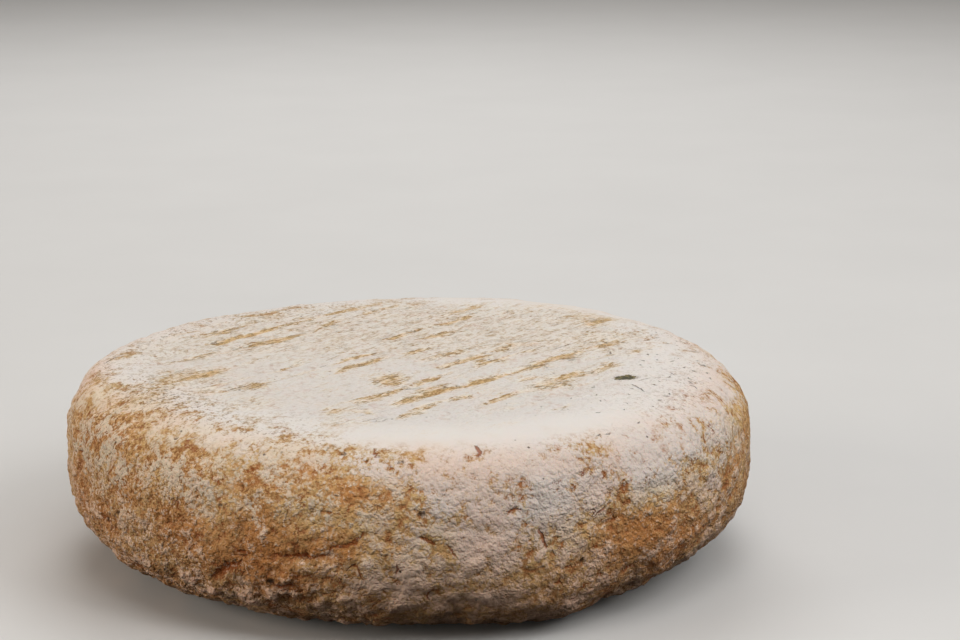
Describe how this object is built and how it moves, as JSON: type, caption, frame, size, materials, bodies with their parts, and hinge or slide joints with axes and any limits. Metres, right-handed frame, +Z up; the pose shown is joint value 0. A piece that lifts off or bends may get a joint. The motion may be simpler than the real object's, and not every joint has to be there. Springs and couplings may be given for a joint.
{
  "type": "cheese wheel",
  "caption": "Small round cheese wheel with rounded shoulders and a dry, cracked natural rind in white bloom over tan, marked by a draining mat on its flat faces.",
  "frame": {"origin": "on the underside, below the middle of the wheel", "axes": "+Z up through the wheel, from the underside to the top face; +X along its longest width; the side seen first faces -Y"},
  "size_m": [0.14, 0.1392, 0.0392],
  "materials": {
    "rind": "dry natural rind: floury white bloom, thick and smooth on the shoulder, worn through to tan and orange-brown on the mat ridges and in patches round the side, with fine cracks and a crumbly texture"
  },
  "bodies": {
    "root": {"cheese_wheel": "rind"}
  },
  "joints": []
}
